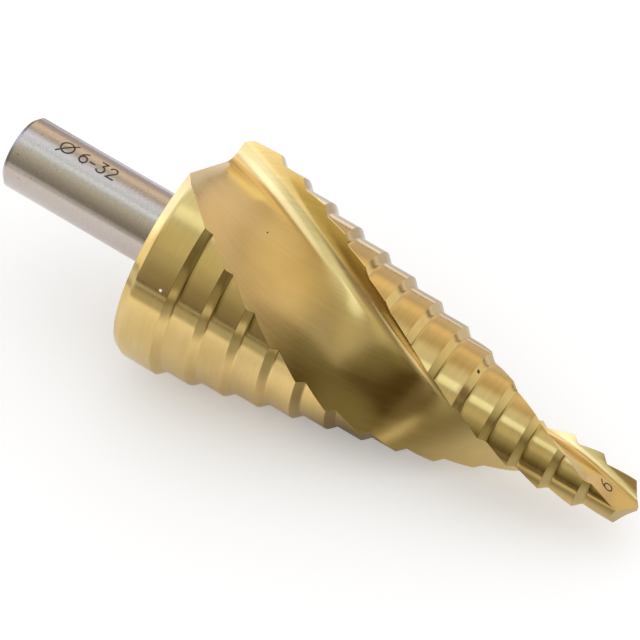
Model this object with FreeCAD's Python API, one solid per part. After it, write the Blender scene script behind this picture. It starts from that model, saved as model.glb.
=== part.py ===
import FreeCAD, Part
import os
from math import atan2, cos, pi, radians, sin, sqrt, tan

# Steps of the head, in millimetres; angles in degrees
largest_diameter = 32.0
smallest_diameter = 6.0
step_in_diameter = 2.0
back_land_length = 5.8
step_pitch = 4.5
step_face_length = 1.0
last_land_length = 4.3
back_bevel_length = 1.2
back_bevel_height = 0.6

# Shank
shank_diameter = 10.0
shank_length = 24.4
shank_bevel = 0.6
neck_fillet = 0.5

# Point
point_angle = 118.0
lip_relief_angle = 25.0

# Spiral flutes, each value at the back face and at the lips
root_distance = (12.9, 1.35)
floor_lean = (27.0, 56.0)
rake_lean = (10.0, 32.0)
root_fillet = (4.0, 1.4)
flute_turn = (99.0, 262.4)
flute_clearance = 4.0
flute_overrun = 2.0
flute_sections = 24

# Steps whose cutting corners the drill lies on, counted from the largest
resting_steps = (3, 4)

# Sizes that follow from those above
step_height = step_in_diameter / 2
step_count = round((largest_diameter - smallest_diameter) / step_in_diameter)
lip_height = back_land_length + (step_count - 1) * step_pitch + step_face_length + last_land_length
point_height = smallest_diameter / 2 / tan(radians(point_angle / 2))
head_length = lip_height + point_height
axis = FreeCAD.Vector(0, 0, 1)
centre = FreeCAD.Vector(0, 0, 0)


# Value at one height of a size that changes evenly along the head
def between(pair, z):
    return pair[0] + (pair[1] - pair[0]) * z / lip_height


# Turn of a flute up to one height, where flute_turn is the turn over the whole head
# that each end's own rate of twist would give
def twist(z):
    share = z / lip_height
    return flute_turn[0] * share + (flute_turn[1] - flute_turn[0]) * share * share / 2


# Directions of the rake side and the floor of a flute, seen from its root
def flute_sides(z):
    return radians(between(rake_lean, z)), radians(90 + between(floor_lean, z))


# Point where a line that leaves the flute root meets a circle round the axis
def reach(z, direction, radius):
    root = between(root_distance, z)
    inward = root * cos(direction)
    distance = sqrt(inward * inward + radius * radius - root * root) - inward
    return root + distance * cos(direction), distance * sin(direction)


# Point of a flute section, turned with the spiral at its height
def on_spiral(point, z, extra_turn=0):
    turn = radians(twist(z) + extra_turn)
    x, y = point
    return FreeCAD.Vector(x * cos(turn) - y * sin(turn), x * sin(turn) + y * cos(turn), z)


# Bar turned to the steps and the shank
def turned_bar():
    radius = shank_diameter / 2
    bend = neck_fillet * (1 - sqrt(0.5))
    points = [(0, -shank_length), (radius - shank_bevel, -shank_length)]
    points += [(radius, shank_bevel - shank_length), (radius, -neck_fillet)]
    shank_side = Part.makePolygon([FreeCAD.Vector(r, 0, z) for r, z in points])
    fillet = Part.Arc(FreeCAD.Vector(radius, 0, -neck_fillet),
                      FreeCAD.Vector(radius + bend, 0, -bend),
                      FreeCAD.Vector(radius + neck_fillet, 0, 0)).toShape()
    points = [(radius + neck_fillet, 0)]
    radius = largest_diameter / 2
    z = back_land_length
    points += [(radius - back_bevel_height, 0), (radius, back_bevel_length), (radius, z)]
    for step in range(1, step_count):
        points += [(radius - step_height, z + step_face_length), (radius - step_height, z + step_pitch)]
        radius -= step_height
        z += step_pitch
    radius -= step_height
    points += [(radius, z + step_face_length), (radius, head_length)]
    points += [(0, head_length), (0, -shank_length)]
    head_side = Part.makePolygon([FreeCAD.Vector(r, 0, z) for r, z in points])
    outline = Part.Wire(shank_side.Edges + [fillet] + head_side.Edges)
    return Part.Face(outline).revolve(centre, axis, 360)


# Section that the grinding wheel takes out of the head at one height
def flute_section(z):
    rake, floor = flute_sides(z)
    root = between(root_distance, z)
    fillet = between(root_fillet, z)
    outer = between((largest_diameter / 2, smallest_diameter / 2), z) + flute_clearance
    half_angle = (floor - rake) / 2
    setback = fillet / tan(half_angle)
    depth = fillet / sin(half_angle) - fillet

    def from_root(distance, direction):
        return on_spiral((root + distance * cos(direction), distance * sin(direction)), z)

    first = atan2(*reversed(reach(z, rake, outer)))
    last = atan2(*reversed(reach(z, floor, outer)))
    spread = [first + (last - first) * n / 3 for n in (3, 2, 1, 0)]
    rim = [on_spiral((outer * cos(a), outer * sin(a)), z) for a in spread]
    path = [from_root(setback, floor)] + rim + [from_root(setback, rake)]
    arc = Part.Arc(path[-1], from_root(depth, rake + half_angle), path[0]).toShape()
    return Part.Wire(Part.makePolygon(path).Edges + [arc])


# Spiral body swept by the grinding wheel for one flute
def flute_body():
    run = head_length + 2 * flute_overrun
    heights = [run * n / (flute_sections - 1) - flute_overrun for n in range(flute_sections)]
    return Part.makeLoft([flute_section(z) for z in heights], True, False)


# Block above the flank behind one lip
def flank_body(lip_direction):
    size = largest_diameter
    slope = 1 / tan(radians(point_angle / 2))
    up = FreeCAD.Vector(slope, -tan(radians(lip_relief_angle)), 1)
    along = FreeCAD.Vector(1, 0, -slope)
    block = Part.makeBox(size, size, size, FreeCAD.Vector(-size / 2, -size / 2, 0))
    block.Placement = FreeCAD.Placement(centre, FreeCAD.Rotation(along, up.cross(along), up, "ZXY"))
    block.rotate(centre, axis, lip_direction)
    block.translate(FreeCAD.Vector(0, 0, head_length))
    return block


# Drill with its shank down and its point up
def upright_drill():
    corner = reach(lip_height, flute_sides(lip_height)[0], smallest_diameter / 2)
    lip_direction = twist(lip_height) + atan2(corner[1], corner[0]) * 180 / pi
    drill = turned_bar()
    for half_turn in (0, 180):
        flute = flute_body()
        flute.rotate(centre, axis, half_turn)
        drill = drill.cut(flute)
    for half_turn in (0, 180):
        drill = drill.cut(flank_body(lip_direction + half_turn))
    return drill.Solids[0]


# Three corners round the lower flute that touch a flat table
def resting_corners():
    heel = reach(back_bevel_length, flute_sides(back_bevel_length)[1], largest_diameter / 2)
    corners = [on_spiral(heel, back_bevel_length, 180)]
    for step in resting_steps:
        z = back_land_length + step * step_pitch
        radius = largest_diameter / 2 - step * step_height
        corners.append(on_spiral(reach(z, flute_sides(z)[0], radius), z, 180))
    return corners


# Drill as it comes to rest on a table, point along +X, centred over the origin
def resting_drill():
    drill = upright_drill()
    heel, lower, higher = resting_corners()
    up = (lower - heel).cross(higher - heel).normalize()
    if up.dot(heel) > 0:
        up = -up
    across = up.cross(axis).normalize()
    turn = FreeCAD.Rotation(across.cross(up), across, up, "ZXY").inverted()
    drill.Placement = FreeCAD.Placement(centre, turn)
    box = drill.optimalBoundingBox(False)
    drill.translate(FreeCAD.Vector(-box.Center.x, -box.Center.y, -turn.multVec(heel).z))
    return drill


os.makedirs("parts", exist_ok=True)
drill = resting_drill()
drill.exportStep("parts/step_drill.step")
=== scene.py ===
from math import atan2, ceil, cos, hypot, pi, radians, sin, sqrt, tan

import bmesh
import bpy
from mathutils import Matrix, Vector


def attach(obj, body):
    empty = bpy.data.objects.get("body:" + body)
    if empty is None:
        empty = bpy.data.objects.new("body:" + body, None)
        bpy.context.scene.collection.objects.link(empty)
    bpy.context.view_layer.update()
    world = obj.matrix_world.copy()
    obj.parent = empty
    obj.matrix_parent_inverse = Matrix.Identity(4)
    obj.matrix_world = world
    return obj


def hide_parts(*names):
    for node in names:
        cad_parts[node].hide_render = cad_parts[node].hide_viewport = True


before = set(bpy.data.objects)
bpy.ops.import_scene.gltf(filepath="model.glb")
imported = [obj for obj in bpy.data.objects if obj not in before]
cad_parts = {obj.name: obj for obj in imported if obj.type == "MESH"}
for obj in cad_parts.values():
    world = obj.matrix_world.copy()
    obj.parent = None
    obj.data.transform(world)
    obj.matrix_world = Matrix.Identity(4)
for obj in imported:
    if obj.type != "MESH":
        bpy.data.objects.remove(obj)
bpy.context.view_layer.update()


# Turned bar: one bar of high-speed steel, turned to a plain round shank and a head of
# fourteen lands. Each land ends in a sharp corner and a sloping step face with a small
# fillet at its foot, and a narrow bevel breaks the rim at the back of the head.

largest_radius = 16.0
smallest_radius = 3.0
step_height = 1.0
step_count = 13
back_land_length = 5.8
step_pitch = 4.5
step_face_length = 1.0
last_land_length = 4.3
back_bevel_length = 1.2
back_bevel_height = 0.6
edge_break = 0.05
foot_fillet = 0.45
shank_radius = 5.0
shank_length = 24.4
shank_bevel = 0.6
neck_fillet = 0.5
point_angle = 118.0
point_allowance = 0.4
longest_facet = 0.45
fillet_facets, break_facets = 4, 1

lip_height = back_land_length + (step_count - 1) * step_pitch + step_face_length + last_land_length
head_length = lip_height + smallest_radius / tan(radians(point_angle / 2))
blank_height = head_length + point_allowance


# Outline points with each corner rounded, given as (height, radius) points
def rounded(corners):
    outline = [corners[0]]
    for before, corner, after in zip(corners, corners[1:], corners[2:]):
        here = Vector(corner)
        inward, onward = (Vector(before) - here).normalized(), (Vector(after) - here).normalized()
        bend = pi - inward.angle(onward)
        hollow = inward.x * onward.y - inward.y * onward.x < 0
        rounding, facets = (foot_fillet, fillet_facets) if hollow else (edge_break, break_facets)
        start = here + inward * rounding * tan(bend / 2)
        centre = here + (inward + onward).normalized() * rounding / cos(bend / 2)
        for n in range(facets + 1):
            spoke = start - centre
            spoke.rotate(Matrix.Rotation((1 if hollow else -1) * bend * n / facets, 2))
            outline.append(tuple(centre + spoke))
    return outline + [corners[-1]]


# Points with none further apart than a given facet
def filled(points, facet):
    out = [points[0]]
    for a, b in zip(points, points[1:]):
        runs = max(1, ceil(hypot(b[0] - a[0], b[1] - a[1]) / facet))
        out += [tuple(p + (q - p) * n / runs for p, q in zip(a, b)) for n in range(1, runs + 1)]
    return out


head_corners = [(0, largest_radius - back_bevel_height), (back_bevel_length, largest_radius)]
for step in range(step_count):
    corner = back_land_length + step * step_pitch
    radius = largest_radius - step * step_height
    head_corners += [(corner, radius), (corner + step_face_length, radius - step_height)]
head_corners.append((blank_height, smallest_radius))
head_outline = filled(rounded(head_corners), longest_facet)


# Spiral flutes: two grooves ground through the steps from the back face to the point.
# Each has a hooked rake face, a rounded root and a flat floor, and its twist quickens
# towards the point. The wheel leaves fine lines along them, and sharp edges each side.

root_distance = (12.9, 1.35)
floor_lean = (27.0, 56.0)
rake_lean = (10.0, 32.0)
root_fillet = (4.0, 1.4)
flute_turn = (99.0, 262.4)
line_slant = radians(-24)
spiral_stretch = 1.15
second_flute_grain = 10 * pi
land_facets, rake_facets, floor_facets = 54, 26, 24
halvings = 40


# Value at one height of a size that changes evenly from the back face to the lips
def between(pair, z):
    return pair[0] + (pair[1] - pair[0]) * z / lip_height


# Turn of a flute up to one height, where flute_turn is the turn over the whole head that
# each end's own rate of twist would give
def twist(z):
    share = z / lip_height
    return radians(flute_turn[0] * share + (flute_turn[1] - flute_turn[0]) * share * share / 2)


# Directions of the rake side and the floor of a flute, seen from its root
def flute_sides(z):
    return radians(between(rake_lean, z)), radians(90 + between(floor_lean, z))


# Distance from the flute root, along one side, to a circle round the axis
def run_to(z, direction, radius):
    root = between(root_distance, z)
    inward = root * cos(direction)
    return sqrt(inward * inward + radius * radius - root * root) - inward


# Half of a section of the head: land, cutting edge, rake face with its rounded root, and
# floor. Each point comes with its distances across and along the grinding lines
def half_section(z, radius, slant):
    rake, floor = flute_sides(z)
    root = between(root_distance, z)
    fillet = between(root_fillet, z)
    half_angle = (floor - rake) / 2
    setback = fillet / tan(half_angle)
    along = z * spiral_stretch

    # Point on a straight side, by its distance from the root
    def side_point(distance, direction):
        return root + distance * cos(direction), distance * sin(direction)

    centre = side_point(fillet / sin(half_angle), rake + half_angle)
    bend = pi - 2 * half_angle

    # Point on the rake face, or past 0 on the rounded root, by the distance along it
    def face_point(travel):
        if travel < 0:
            return side_point(setback - travel, rake)
        a = rake - pi / 2 - travel / fillet
        return centre[0] + fillet * cos(a), centre[1] + fillet * sin(a)

    # Cutting edge, where the ground face meets the land, found by halving
    cutting_travel, inside = setback - run_to(z, rake, radius + step_height), fillet * bend
    for _ in range(halvings):
        middle = (cutting_travel + inside) / 2
        if hypot(*face_point(middle)) > radius:
            cutting_travel = middle
        else:
            inside = middle
    floor_run = run_to(z, floor, radius)
    cutting = atan2(*reversed(face_point(cutting_travel)))
    heel = atan2(*reversed(side_point(floor_run, floor)))
    first, last = heel - pi + edge_break / radius, cutting - edge_break / radius

    # Distances across and along the grinding lines, which run at a slant to the flute
    def ground_place(distance):
        return (distance * cos(line_slant) - along * sin(line_slant),
                distance * sin(line_slant) + along * cos(line_slant))

    points = []
    for n in range(land_facets + 1):
        a = first + (last - first) * n / land_facets
        points.append((radius * cos(a), radius * sin(a), slant, (a + twist(z)) * radius))
    for n in range(rake_facets + 1):
        travel = cutting_travel + edge_break
        travel += (fillet * bend - travel) * n / rake_facets
        points.append((*face_point(travel), *ground_place(travel - fillet * bend + setback)))
    for n in range(1, floor_facets + 1):
        d = setback + (floor_run - edge_break - setback) * n / floor_facets
        points.append((*side_point(d, floor), *ground_place(d)))
    return points


# The whole section is the half and its copy turned half a circle
def full_section(z, radius, slant):
    half = half_section(z, radius, slant)
    section = []
    for half_turn, grain_shift in ((0, 0), (pi, second_flute_grain)):
        turn = twist(z) + half_turn
        for x, y, across, along in half:
            place = (x * cos(turn) - y * sin(turn), x * sin(turn) + y * cos(turn), z)
            section.append((place, across, along + grain_shift))
    return section


rings = []
slant = 0.0
for n, (z, radius) in enumerate(head_outline):
    slant += hypot(z - head_outline[n - 1][0], radius - head_outline[n - 1][1]) if n else 0
    rings.append(full_section(z, radius, slant))
columns = len(rings[0])


# Back face, neck and shank: the same bar, turned down behind the head. The shank is
# ground round and left bare, with a small bevel round its end and a fillet at the neck.

end_face_radii = (0.4, 2.0)
neck_facets = 4
coated_neck_rings = 3
back_face_rows = 9
longest_shank_facet = 0.8
first_column_turn = radians(-128)


# Ring of points round the axis, under the columns of the head
def turned_ring(z, radius, slant):
    ring = []
    for n in range(columns):
        a = first_column_turn + 2 * pi * n / columns
        ring.append(((radius * cos(a), radius * sin(a), z), slant, 2 * pi * n / columns * radius))
    return ring


neck_arc = []
for n in range(neck_facets + 1):
    a = pi / 2 * n / neck_facets
    neck_arc.append((-neck_fillet * (1 - sin(a)), shank_radius + neck_fillet * (1 - cos(a))))
shank_outline = [(-shank_length, radius) for radius in (*end_face_radii, shank_radius - shank_bevel)]
shank_outline += [(shank_bevel - shank_length, shank_radius), neck_arc[0]]
shank_rings = []
for z, radius in filled(shank_outline, longest_shank_facet) + neck_arc[1:]:
    shank_rings.append(turned_ring(z, radius, z + radius))
back_face_rings = []
for row in range(1, back_face_rows):
    share = row / back_face_rows
    ring = []
    for low, high in zip(shank_rings[-1], rings[0]):
        place = tuple(p + (q - p) * share for p, q in zip(low[0], high[0]))
        radius = hypot(place[0], place[1])
        ring.append((place, radius, 2 * pi * len(ring) / columns * radius))
    back_face_rings.append(ring)

drill_mesh = bmesh.new()
grain = drill_mesh.loops.layers.uv.new("grain")
all_rings = shank_rings + back_face_rings + rings
vertex_rings = [[drill_mesh.verts.new(point[0]) for point in ring] for ring in all_rings]
bare_rows = len(shank_rings) - coated_neck_rings
turned_rows = len(shank_rings) + len(back_face_rings) - 1
for row, (low, high) in enumerate(zip(all_rings, all_rings[1:])):
    for n in range(columns):
        m = (n + 1) % columns
        corners = [(low, n), (low, m), (high, m), (high, n)]
        verts = [vertex_rings[row + (ring is high)][k] for ring, k in corners]
        face = drill_mesh.faces.new(verts)
        face.material_index = 1 if row < bare_rows else 0
        for loop, (ring, k) in zip(face.loops, corners):
            place, across, along = ring[k]
            if row < turned_rows and k == m == 0:
                along += 2 * pi * hypot(*place[:2])
            loop[grain].uv = across, along
drill_mesh.faces.new(list(reversed(vertex_rings[0]))).material_index = 1
drill_mesh.faces.new(vertex_rings[-1])


# Point: two flanks ground on the end of the web, 118 degrees between the lips, each
# falling away behind its lip, so that they meet in a short chisel edge on the axis.

lip_relief_angle = 25.0
flank_line_rise = 3.0
cut_gap = 1e-5
merge_gap = 1e-4

rake, floor = flute_sides(lip_height)
lip_run = run_to(lip_height, rake, smallest_radius)
lip_corner = between(root_distance, lip_height) + lip_run * cos(rake), lip_run * sin(rake)
lip_turn = twist(lip_height) + atan2(lip_corner[1], lip_corner[0])
for half_turn in (0, pi):
    normal = Vector((1 / tan(radians(point_angle / 2)), -tan(radians(lip_relief_angle)), 1))
    normal.rotate(Matrix.Rotation(lip_turn + half_turn, 3, "Z"))
    geometry = drill_mesh.verts[:] + drill_mesh.edges[:] + drill_mesh.faces[:]
    bmesh.ops.bisect_plane(drill_mesh, geom=geometry, dist=cut_gap, plane_co=(0, 0, head_length),
                           plane_no=normal, clear_outer=True)
    rim = [edge for edge in drill_mesh.edges if edge.is_boundary]
    flank = bmesh.ops.holes_fill(drill_mesh, edges=rim, sides=0)["faces"]
    flank = bmesh.ops.triangulate(drill_mesh, faces=flank)["faces"]
    for face in flank:
        for loop in face.loops:
            loop[grain].uv = loop.vert.co.x + flank_line_rise * loop.vert.co.z, loop.vert.co.y
bmesh.ops.remove_doubles(drill_mesh, verts=drill_mesh.verts, dist=merge_gap)
bmesh.ops.dissolve_degenerate(drill_mesh, edges=drill_mesh.edges, dist=merge_gap)


# Finishes of the drill: the whole head has a hard gold-coloured nitride coating over the
# ground steel, so the grinding lines show through it. The shank is bare ground steel.

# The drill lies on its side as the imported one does: dip of the axis towards the point,
# roll about it, and the place of the back face's centre in millimetres
dip = radians(7.8334)
roll = radians(-55.3125)
back_face_place = Vector((-20.7903, 0, 15.1145))
millimetre = 0.001
lying = Matrix(((sin(dip), 0, cos(dip)), (0, -1, 0), (cos(dip), 0, -sin(dip)))).to_4x4()
laid_down = Matrix.Scale(millimetre, 4) @ Matrix.Translation(back_face_place) @ lying
laid_down = laid_down @ Matrix.Rotation(roll, 4, "Z")


# Group of shader nodes with named inputs and outputs
def node_group(name, inputs, outputs):
    group = bpy.data.node_groups.new(name, "ShaderNodeTree")
    for socket, kind, value in inputs:
        made = group.interface.new_socket(name=socket, in_out="INPUT", socket_type=kind)
        if value is not None:
            made.default_value = value
    for socket, kind in outputs:
        group.interface.new_socket(name=socket, in_out="OUTPUT", socket_type=kind)
    return group, group.nodes.new("NodeGroupInput"), group.nodes.new("NodeGroupOutput")


# Input of a node, set to a value or joined to an output of another node
def feed(tree, socket, value):
    if isinstance(value, bpy.types.NodeSocket):
        tree.links.new(value, socket)
    else:
        socket.default_value = value


# Node with its settings and its inputs, which go by name, or by number as i0, i1 and so on
def add_node(tree, kind, settings=None, **inputs):
    node = tree.nodes.new("ShaderNode" + kind)
    for key, value in (settings or {}).items():
        setattr(node, key, value)
    for key, value in inputs.items():
        by_number = key[0] == "i" and key[1:].isdigit()
        feed(tree, node.inputs[int(key[1:]) if by_number else key.replace("_", " ")], value)
    return node


# Sum, product and so on of two values
def worked(tree, operation, a, b):
    return add_node(tree, "Math", {"operation": operation}, i0=a, i1=b).outputs[0]


# Value moved from one range to another, and held at its ends
def ranged(tree, value, low, high, to_low=0.0, to_high=1.0):
    return add_node(tree, "MapRange", {"interpolation_type": "SMOOTHSTEP"}, i0=value, i1=low, i2=high,
                    i3=to_low, i4=to_high).outputs[0]


# Two colours mixed by a mask
def blended(tree, mask, below, above, blend_type="MIX"):
    settings = {"data_type": "RGBA", "blend_type": blend_type}
    return add_node(tree, "Mix", settings, i0=mask, i6=below, i7=above).outputs[2]


# Fine lines that a grinding wheel or a turning tool leaves, along v of the grain map
ground_lines, line_in, line_out = node_group(
    "ground_lines",
    [("Grain", "NodeSocketVector", None), ("Lines per mm", "NodeSocketFloat", 5.0),
     ("Line length", "NodeSocketFloat", 6.0)],
    [("Height", "NodeSocketFloat"), ("Streaks", "NodeSocketFloat")])
across = add_node(ground_lines, "SeparateXYZ", Vector=line_in.outputs["Grain"])
stretched = add_node(ground_lines, "CombineXYZ",
                     X=worked(ground_lines, "MULTIPLY", across.outputs[0], line_in.outputs["Lines per mm"]),
                     Y=worked(ground_lines, "DIVIDE", across.outputs[1], line_in.outputs["Line length"]))
fine = add_node(ground_lines, "TexNoise", {"noise_dimensions": "2D"}, Vector=stretched.outputs[0],
                Scale=1.0, Detail=3.0, Roughness=0.6)
broad = add_node(ground_lines, "TexNoise", {"noise_dimensions": "2D"}, Vector=stretched.outputs[0],
                 Scale=0.28, Detail=2.0, Roughness=0.5)
fine_part = worked(ground_lines, "MULTIPLY", fine.outputs[0], 0.45)
broad_part = worked(ground_lines, "MULTIPLY", broad.outputs[0], 0.55)
feed(ground_lines, line_out.inputs["Height"], fine.outputs[0])
feed(ground_lines, line_out.inputs["Streaks"], worked(ground_lines, "ADD", fine_part, broad_part))

# Small pits, cloudiness and fine speckle that handling leaves, in millimetres of the drill
handling, hand_in, hand_out = node_group(
    "handling_marks",
    [("Place", "NodeSocketVector", None), ("Pits per mm", "NodeSocketFloat", 2.0),
     ("Clouds per mm", "NodeSocketFloat", 0.2)],
    [("Pits", "NodeSocketFloat"), ("Clouds", "NodeSocketFloat"), ("Speckle", "NodeSocketFloat")])
pit_cells = add_node(handling, "TexVoronoi", {"feature": "F1"}, Vector=hand_in.outputs["Place"],
                     Scale=hand_in.outputs["Pits per mm"], Randomness=1.0)
pit_pick = add_node(handling, "SeparateColor", Color=pit_cells.outputs["Color"])
pit_spots = ranged(handling, pit_cells.outputs["Distance"], 0.16, 0.07)
rare = ranged(handling, pit_pick.outputs[0], 0.86, 0.88)
feed(handling, hand_out.inputs["Pits"], worked(handling, "MULTIPLY", pit_spots, rare))
clouds = add_node(handling, "TexNoise", Vector=hand_in.outputs["Place"],
                  Scale=hand_in.outputs["Clouds per mm"], Detail=3.0, Roughness=0.55)
feed(handling, hand_out.inputs["Clouds"], clouds.outputs[0])
speckle = add_node(handling, "TexNoise", Vector=hand_in.outputs["Place"], Scale=4.5, Detail=2.0,
                   Roughness=0.7)
feed(handling, hand_out.inputs["Speckle"], speckle.outputs[0])


# Finish of one kind of surface: tree, shader, grain map and place on the drill
def metal(name, **values):
    material = bpy.data.materials.new(name)
    material.use_nodes = True
    tree = material.node_tree
    tree.nodes.clear()
    shader = add_node(tree, "BsdfPrincipled", **values)
    add_node(tree, "OutputMaterial", Surface=shader.outputs[0])
    grain_map = add_node(tree, "UVMap", {"uv_map": "grain"}).outputs[0]
    place = add_node(tree, "Attribute", {"attribute_name": "place"}).outputs["Vector"]
    return material, tree, shader, grain_map, place


# Lines of the wheel catch the light across them, and stand up from the metal a little
def brushed(tree, shader, height):
    tangent = add_node(tree, "Tangent", {"direction_type": "UV_MAP", "uv_map": "grain"})
    feed(tree, shader.inputs["Tangent"], tangent.outputs[0])
    bump = add_node(tree, "Bump", Strength=1.0, Distance=line_depth, Height=height)
    feed(tree, shader.inputs["Normal"], bump.outputs[0])


# Round mask at one place, full within one distance and gone beyond another
def spot(tree, place, centre, inner, outer):
    gap = add_node(tree, "VectorMath", {"operation": "DISTANCE"}, i0=place, i1=centre).outputs["Value"]
    return ranged(tree, gap, outer, inner)


line_depth = 0.0000014
gold = (0.74, 0.585, 0.275, 1.0)
gold_deep = (0.66, 0.49, 0.20, 1.0)
gold_pale = (0.80, 0.66, 0.36, 1.0)
gold_line = (0.58, 0.43, 0.17, 1.0)
stain_brown = (0.40, 0.24, 0.10, 1.0)
speck_dark = (0.06, 0.045, 0.03, 1.0)
chip_pale = (0.93, 0.90, 0.86, 1.0)

coating, tree, shader, grain_map, place = metal("gold_coating", Metallic=1.0, Anisotropic=0.55)
lines = add_node(tree, "Group", {"node_tree": ground_lines}, Grain=grain_map,
                 Lines_per_mm=8.0, Line_length=4.0)
marks = add_node(tree, "Group", {"node_tree": handling}, Place=place,
                 Pits_per_mm=1.6, Clouds_per_mm=0.16)
streaks = lines.outputs["Streaks"]
colour = blended(tree, ranged(tree, marks.outputs["Clouds"], 0.3, 0.7), gold_deep, gold_pale)
colour = blended(tree, 0.3, gold, colour)
colour = blended(tree, ranged(tree, streaks, 0.38, 0.62, 0.17, 0.0), colour, gold_line)

# Blemishes: a brown stain and a dark speck beside it on one land, a speck on the floor of
# the upper flute, and a pale chip in the coating of the largest land
colour = blended(tree, spot(tree, place, (0.3, 7.6, 42.2), 0.35, 1.25), colour, stain_brown)
for centre, size in (((3.62, 6.67, 42.21), 0.32), ((5.24, 7.81, 10.69), 0.16)):
    colour = blended(tree, spot(tree, place, centre, size * 0.6, size), colour, speck_dark)
chip = spot(tree, place, (-8.73, 13.40, 4.63), 0.14, 0.24)
feed(tree, shader.inputs["Base Color"], blended(tree, chip, colour, chip_pale))
feed(tree, shader.inputs["Metallic"], worked(tree, "SUBTRACT", 1.0, chip))
feed(tree, shader.inputs["Roughness"], ranged(tree, streaks, 0.3, 0.7, 0.13, 0.18))
brushed(tree, shader, lines.outputs["Height"])

steel = (0.60, 0.565, 0.575, 1.0)
steel_dark = (0.53, 0.50, 0.505, 1.0)
pit_dark = (0.12, 0.10, 0.09, 1.0)
bare_steel, tree, shader, grain_map, place = metal("bare_ground_steel", Metallic=1.0, Anisotropic=0.45)
lines = add_node(tree, "Group", {"node_tree": ground_lines}, Grain=grain_map,
                 Lines_per_mm=4.0, Line_length=5.0)
marks = add_node(tree, "Group", {"node_tree": handling}, Place=place,
                 Pits_per_mm=1.3, Clouds_per_mm=0.3)
colour = blended(tree, ranged(tree, marks.outputs["Speckle"], 0.35, 0.6), steel_dark, steel)
feed(tree, shader.inputs["Base Color"], blended(tree, marks.outputs["Pits"], colour, pit_dark))
feed(tree, shader.inputs["Roughness"], ranged(tree, marks.outputs["Speckle"], 0.3, 0.7, 0.22, 0.27))
brushed(tree, shader, lines.outputs["Height"])


# Mesh piece made in the drill's own upright millimetres, and laid down with it
def drill_piece(name, mesh, *materials):
    bmesh.ops.recalc_face_normals(mesh, faces=mesh.faces)
    shape = bpy.data.meshes.new(name)
    mesh.to_mesh(shape)
    mesh.free()
    places = shape.attributes.new("place", "FLOAT_VECTOR", "POINT")
    places.data.foreach_set("vector", [c for vertex in shape.vertices for c in vertex.co])
    shape.transform(laid_down)
    for material in materials:
        shape.materials.append(material)
    piece = bpy.data.objects.new(name, shape)
    bpy.context.scene.collection.objects.link(piece)
    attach(piece, "root")
    return piece


drill_body = drill_piece("step_drill_body", drill_mesh, coating, bare_steel)
drill_body.data.shade_smooth()
drill_body.data.set_sharp_from_angle(angle=radians(15))
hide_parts("step_drill")


# Size marks: thin single lines drawn by a laser, which leave a dark oxide skin on the
# metal. A diameter sign and two plain sizes run along the shank, parallel to the axis.

mark_height = 1.8
mark_width = 0.235
skin_bottom, skin_top = -0.03, 0.012
longest_stroke_facet = 0.12
sharpest_mitre = 0.6
end_overhang = 1 / 3
same_point = 1e-6
shank_mark_start = -18.98
shank_mark_turn = radians(60.3)
shank_figures = (("diameter", 0.0), ("6", 2.95), ("dash", 4.45), ("3", 5.72), ("2", 7.2))
oxide_dark, oxide_pale = (0.035, 0.028, 0.025, 1), (0.10, 0.08, 0.07, 1)


# Points along part of an oval, in shares of the figure's height
def bow(centre, radii, start, end, facets=16):
    turns = [radians(start + (end - start) * n / facets) for n in range(facets + 1)]
    return [(centre[0] + radii[0] * cos(a), centre[1] + radii[1] * sin(a)) for a in turns]


figure_strokes = {
    "diameter": [bow((0.51, 0.5), (0.50, 0.50), 0, 360, 32), [(-0.10, -0.16), (1.12, 1.16)]],
    "6": [bow((0.30, 0.30), (0.29, 0.30), 0, 360, 24), bow((0.74, 0.32), (0.73, 0.68), 178, 112)],
    "dash": [[(0.0, 0.40), (0.38, 0.40)]],
    "3": [[(0.03, 1.0), (0.50, 1.0), (0.24, 0.60)], bow((0.22, 0.29), (0.31, 0.30), 86, -150)],
    "2": [bow((0.28, 0.72), (0.27, 0.27), 165, -38) + [(0.0, 0.0), (0.60, 0.0)]],
}


# Thin skin along one stroke, laid on a surface by a rule that places (x, y, lift)
def lay_stroke(mesh, stroke, width, laid):
    profile = ((1, skin_top), (-1, skin_top), (-1, skin_bottom), (1, skin_bottom))
    closed = hypot(stroke[0][0] - stroke[-1][0], stroke[0][1] - stroke[-1][1]) < same_point
    points = [Vector(p) for p in (stroke[:-1] if closed else stroke)]
    rows = []
    for n, point in enumerate(points):
        before = points[n - 1] if n or closed else point
        after = points[(n + 1) % len(points)] if n + 1 < len(points) or closed else point
        first, second = point - before, after - point
        first = (first if first.length else second).normalized()
        second = (second if second.length else first).normalized()
        course = (first + second).normalized()
        side = Vector((-course.y, course.x)) * width / 2 / max(course.dot(first), sharpest_mitre)
        end = Vector((0, 0))
        if not closed and n in (0, len(points) - 1):
            end = course * width * end_overhang * (1 if n else -1)
        rows.append([mesh.verts.new(laid(*(point + side * k + end), lift)) for k, lift in profile])
    for low, high in zip(rows, rows[1:] + ([rows[0]] if closed else [])):
        for k in range(4):
            mesh.faces.new((low[k], low[(k + 1) % 4], high[(k + 1) % 4], high[k]))
    if not closed:
        mesh.faces.new(rows[0])
        mesh.faces.new(list(reversed(rows[-1])))


# Stroke with points no further apart than a facet, so that it bends with the surface
def fine_stroke(stroke, x, height):
    return filled([(x + px * height, py * height) for px, py in stroke], longest_stroke_facet)


# Place of a mark on the shank, with x along the axis and y round it
def on_shank(x, y, lift):
    a = shank_mark_turn - (y - mark_height / 2) / shank_radius
    return ((shank_radius + lift) * cos(a), (shank_radius + lift) * sin(a), shank_mark_start + x)


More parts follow.
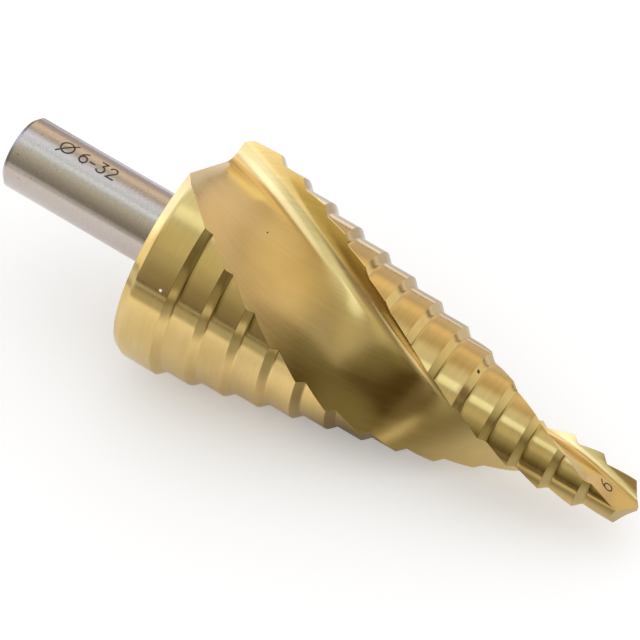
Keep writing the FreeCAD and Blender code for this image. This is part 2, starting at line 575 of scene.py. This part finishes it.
# Oxide skin of a laser mark, cloudy between two colours and two roughnesses
def oxide(name, metallic, dark, pale, smooth, rough):
    material, tree, shader, _, place = metal(name, Metallic=metallic)
    marks = add_node(tree, "Group", {"node_tree": handling}, Place=place, Clouds_per_mm=2.5)
    clouds = marks.outputs["Clouds"]
    feed(tree, shader.inputs["Base Color"], blended(tree, ranged(tree, clouds, 0.35, 0.65), dark, pale))
    feed(tree, shader.inputs["Roughness"], ranged(tree, clouds, 0.3, 0.7, smooth, rough))
    return material


shank_marks = bmesh.new()
for figure, x in shank_figures:
    for stroke in figure_strokes[figure]:
        lay_stroke(shank_marks, fine_stroke(stroke, x, mark_height), mark_width, on_shank)
laser_skin = oxide("laser_oxide", 0.4, oxide_dark, oxide_pale, 0.45, 0.65)
drill_piece("shank_size_marks", shank_marks, laser_skin)


# Smallest size: one plain figure drawn by the same laser on the floor of the second
# flute, next to the land of that size. There the oxide is browner over the coating.

flute_figure_height = 1.85
flute_figure_width = 0.19
flute_figure_foot = 63.1
flute_figure_side = 2.65
brown_dark, brown_pale = (0.07, 0.03, 0.015, 1), (0.18, 0.09, 0.04, 1)


# Place of a mark on the floor of the second flute, with x towards its root and y towards
# the back face
def on_flute_floor(x, y, lift):
    z = flute_figure_foot - y
    root, lean = between(root_distance, z), flute_sides(z)[1]
    distance = flute_figure_side - x
    px = root + distance * cos(lean) + lift * sin(lean)
    py = distance * sin(lean) - lift * cos(lean)
    turn = twist(z) + pi
    return px * cos(turn) - py * sin(turn), px * sin(turn) + py * cos(turn), z


flute_figure = bmesh.new()
for stroke in figure_strokes["6"]:
    fine = fine_stroke(stroke, 0.0, flute_figure_height)
    lay_stroke(flute_figure, fine, flute_figure_width, on_flute_floor)
brown_skin = oxide("laser_oxide_on_coating", 0.5, brown_dark, brown_pale, 0.40, 0.60)
drill_piece("flute_size_figure", flute_figure, brown_skin)


# Studio: a plain white table that keeps a soft shadow, soft light from all round, and the
# camera at the photograph's angle, above the point and in front of the drill.

camera_data = bpy.data.cameras.new("camera")
camera_data.sensor_width = 36.0
camera_data.lens = 176.577
camera_data.clip_start, camera_data.clip_end = 0.01, 10.0
camera = bpy.data.objects.new("camera", camera_data)
camera_right = Vector((0.86938, 0.48145, 0.11128))
camera_down = Vector((0.39556, -0.54311, -0.74065))
camera_forward = Vector((-0.29615, 0.68793, -0.66261))
camera_place = Vector((0.116465, -0.271009, 0.273898))
turned = Matrix((camera_right, -camera_down, -camera_forward)).transposed().to_4x4()
camera.matrix_world = Matrix.Translation(camera_place) @ turned
bpy.context.scene.collection.objects.link(camera)
bpy.context.scene.camera = camera

table_reach = 2.0
table_mesh = bmesh.new()
bmesh.ops.create_grid(table_mesh, x_segments=1, y_segments=1, size=table_reach)
table_shape = bpy.data.meshes.new("table")
table_mesh.to_mesh(table_shape)
table_mesh.free()
table = bpy.data.objects.new("table", table_shape)
bpy.context.scene.collection.objects.link(table)

# The camera and soft light see a plain white table. Glossy rays see a painted reflection instead: a dim
# warm painted shade with round patches of painted light on it, each as (x, y, full within, gone beyond,
# light)
backdrop_lift = 0.25
table_paint = (0.8, 0.8, 0.8, 1)
painted_table_reflection_shade = (0.17, 0.13, 0.07, 1)
painted_table_reflection_lights = [
    # Under the drill and its point
    (-0.04, -0.02, 0.04, 0.05, (0.65, 0.60, 0.55)),
    (-0.04, 0.02, 0.02, 0.07, (0.25, 0.30, 0.35)),
    (0.005, -0.025, 0.005, 0.02, (0.35, 0.35, 0.30)),
    (0.03, 0.00, 0.005, 0.015, (0.40, 0.40, 0.30)),
    (0.035, -0.03, 0.005, 0.015, (0.45, 0.40, 0.35)),
    # In front, and to the shank's side
    (-0.045, -0.085, 0.02, 0.075, (0.35, 0.35, 0.30)),
    (-0.13, -0.23, 0.04, 0.12, (0.60, 0.60, 0.55)),
    (-0.16, -0.10, 0.05, 0.115, (0.65, 0.65, 0.65)),
    (-0.60, -0.10, 0.30, 0.42, (0.50, 0.50, 0.50)),
    # Behind, and to the point's side
    (-0.08, 0.18, 0.04, 0.14, (0.75, 0.75, 0.85)),
    (0.04, 0.10, 0.10, 0.12, (0.40, 0.40, 0.50)),
    (0.13, 0.22, 0.05, 0.15, (0.45, 0.40, 0.40)),
    (-0.06, 0.42, 0.12, 0.24, (0.70, 0.70, 0.85)),
    (0.12, 0.02, 0.10, 0.12, (0.15, 0.15, 0.10)),
]
table_white = bpy.data.materials.new("table_white")
table_white.use_nodes = True
tree = table_white.node_tree
tree.nodes.clear()
light_path = add_node(tree, "LightPath")
table_place = add_node(tree, "TexCoord").outputs["Object"]
# Painted reflection: dim warm painted shade plus patches of painted light, seen only by glossy rays
painted_reflection = painted_table_reflection_shade
for x, y, inner, outer, light in painted_table_reflection_lights:
    painted_reflection = blended(tree, spot(tree, table_place, (x, y, 0), inner, outer), painted_reflection, (*light, 1), "ADD")
# Glossy rays see the painted reflection; all other rays see the white paint
colour = blended(tree, light_path.outputs["Is Glossy Ray"], table_paint, painted_reflection)
plain = add_node(tree, "BsdfDiffuse", Color=colour)
strength = worked(tree, "MULTIPLY", light_path.outputs["Is Camera Ray"], backdrop_lift)
lift = add_node(tree, "Emission", Strength=strength)
seen = add_node(tree, "AddShader", i0=plain.outputs[0], i1=lift.outputs[0])
add_node(tree, "OutputMaterial", Surface=seen.outputs[0])
table_shape.materials.append(table_white)

world = bpy.data.worlds.new("studio")
bpy.context.scene.world = world
world.use_nodes = True
tree = world.node_tree
tree.nodes.clear()
direction = add_node(tree, "TexCoord").outputs["Generated"]


# Soft round patch of light or shade round one direction, azimuth and elevation in degrees
def panel_mask(azimuth, elevation, inner, outer):
    around, up = radians(azimuth), radians(elevation)
    aim = (cos(around) * cos(up), sin(around) * cos(up), sin(up))
    towards = add_node(tree, "VectorMath", {"operation": "DOT_PRODUCT"}, i0=direction, i1=aim)
    return ranged(tree, towards.outputs["Value"], cos(radians(outer)), cos(radians(inner)))


# The camera and soft light see a plain white room. Glossy rays see a painted reflection instead: a dim warm
# painted shade, with painted shade at the point's side and round patches of painted light that stand in for
# soft boxes and light nothing else.
# Each is (azimuth, elevation, full within, gone beyond), in degrees, and a patch of painted light has its
# light too
white = (1, 1, 1, 1)
painted_room_shade = (0.33, 0.27, 0.21, 1)
painted_point_side_shade = (0.08, 0.05, 0.01, 1)
painted_shade_sides = [(0, 5, 43, 50), (-60, 5, 37, 45)]
painted_light_patches = [
    # Over the shank
    (157, 23, 36, 42, (0.55, 0.55, 0.70)),
    (165, 10, 15, 40, (0.50, 0.60, 1.00)),
    (-155, 15, 10, 25, (0.80, 0.75, 0.55)),
    (-170, 60, 15, 40, (0.50, 0.60, 0.60)),
    (160, 65, 5, 20, (0.40, 0.45, 0.70)),
    # Overhead in front
    (-90, 50, 15, 40, (0.15, 0.15, 0.10)),
    (-95, 70, 5, 10, (0.45, 0.55, 0.60)),
    (-105, 45, 5, 15, (0.20, 0.20, 0.10)),
    (-105, 20, 5, 20, (0.10, 0.10, 0.05)),
    # Overhead behind, and low behind
    (75, 60, 15, 40, (0.20, 0.15, 0.05)),
    (115, 35, 5, 20, (0.50, 0.35, 0.15)),
    (60, 25, 20, 55, (0.35, 0.30, 0.25)),
    (85, -10, 15, 40, (0.25, 0.20, 0.20)),
    # At the point's side
    (-20, 65, 10, 40, (0.15, 0.15, 0.10)),
    (-30, 10, 5, 30, (0.15, 0.15, 0.10)),
    (25, 0, 15, 35, (0.50, 0.50, 0.40)),
]
# Painted reflection of the room: painted shade, darker painted shade at the sides, and added patches of
# painted light
painted_reflection = painted_room_shade
for place in painted_shade_sides:
    painted_reflection = blended(tree, panel_mask(*place), painted_reflection, painted_point_side_shade)
for *place, light in painted_light_patches:
    painted_reflection = blended(tree, panel_mask(*place), painted_reflection, (*light, 1), "ADD")
light_path = add_node(tree, "LightPath")
# Glossy rays see the painted reflection; diffuse rays see plain white and the camera sees white
sky = blended(tree, light_path.outputs["Is Glossy Ray"], white, painted_reflection)
sky = blended(tree, light_path.outputs["Is Camera Ray"], sky, white)
background = add_node(tree, "Background", Color=sky, Strength=1.0)
add_node(tree, "OutputWorld", Surface=background.outputs[0])

bpy.context.scene.view_settings.view_transform = "Standard"
